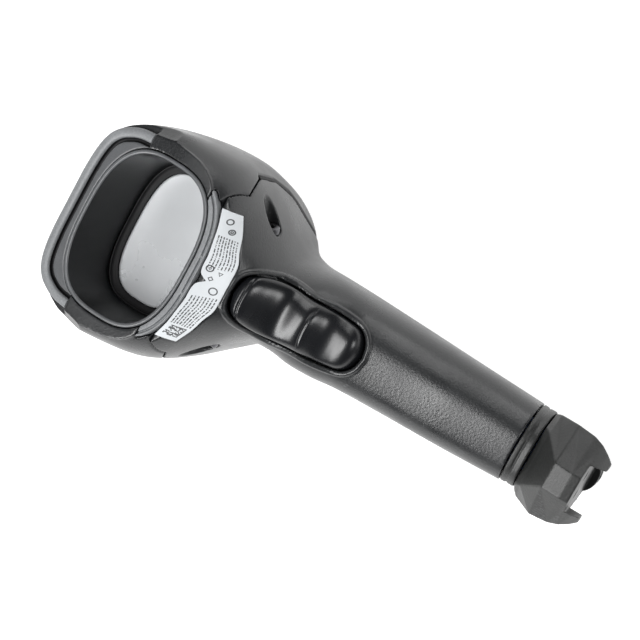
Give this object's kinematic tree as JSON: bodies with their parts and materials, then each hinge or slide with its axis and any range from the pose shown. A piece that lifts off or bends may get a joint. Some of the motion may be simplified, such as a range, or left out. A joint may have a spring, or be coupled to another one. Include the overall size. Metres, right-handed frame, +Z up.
{
  "type": "handheld barcode scanner",
  "caption": "Cordless handheld barcode scanner lying on its back: hooded window in a rounded head, two-finger trigger, round handle and a faceted battery foot.",
  "frame": {"origin": "on the ground, at the middle of the footprint's length and width", "axes": "+Z up, with the scanner lying on its back; +Y towards the foot; +X to the right for someone at the head's end who looks towards the foot"},
  "size_m": [0.0726, 0.187, 0.0796],
  "materials": {
    "grey_shell": "fine moulded grain",
    "dark_shell": "satin, fine moulded grain",
    "rim_rubber": "matt, fine grain",
    "rubber": "matt",
    "hood_black": "matt black",
    "glass": "clear, light grey",
    "label_white": "satin film",
    "trigger_black": "gloss",
    "foot_grey": "satin",
    "steel": "plated",
    "brass": "gold plated",
    "board_green": "circuit board",
    "board_black": "matt",
    "lamp_clear": "clear",
    "flex_amber": "satin",
    "cell_wrap": "shrink film"
  },
  "bodies": {
    "scanner": {"main_housing": "grey_shell", "upper_cover": "dark_shell", "upper_rim_bumper": "rim_rubber", "lower_rim_bumper": "rim_rubber", "hood": "hood_black", "window": "glass", "window_seal": "rubber", "imager_bracket": "steel", "imager_module": "board_black", "lens_barrel": "board_black", "camera_lens": "glass", "left_lamp": "lamp_clear", "right_lamp": "lamp_clear", "aimer_tube": "board_black", "main_board": "board_green", "decoder_shield": "steel", "radio_module": "board_green", "beeper": "board_black", "left_board_screw": "steel", "right_board_screw": "steel", "imager_flex": "flex_amber", "indicator_light": "lamp_clear", "label": "label_white", "left_housing_screw": "steel", "right_housing_screw": "steel", "seam_gasket": "rubber", "trigger_pin": "steel", "trigger_bracket": "dark_shell", "trigger_board": "board_green", "trigger_switch": "board_black", "trigger_spring": "steel", "contact_board": "board_green", "left_contact_spring": "brass", "right_contact_spring": "brass"},
    "trigger_body": {"trigger": "trigger_black"},
    "plunger_body": {"switch_plunger": "steel"},
    "battery_body": {"foot": "foot_grey", "collar": "dark_shell", "battery_cell": "cell_wrap", "battery_carrier": "dark_shell", "foot_screw": "steel", "left_charge_contact": "brass", "right_charge_contact": "brass"}
  },
  "joints": [
    {"name": "trigger_press", "type": "hinge", "parent": "scanner", "child": "trigger_body", "pos_m": [0, -0.02614, 0.05385], "axis": [-1, 0, 0], "range_deg": [0, 3], "stiffness_Nm_per_rad": 0.6, "springref_deg": -4.58, "deforming": ["trigger_spring"]},
    {"name": "plunger_push", "type": "slide", "parent": "scanner", "child": "plunger_body", "axis": [0, -0.1392, -0.9903], "range_m": [0, 0.0014]},
    {"name": "battery_foot_slide", "type": "slide", "parent": "scanner", "child": "battery_body", "axis": [0, 0.9903, -0.1392], "range_m": [0, 0.052]}
  ],
  "couplings": [
    {"joint": "plunger_push", "follows": "trigger_press", "m_per_rad": 0.0255}
  ]
}
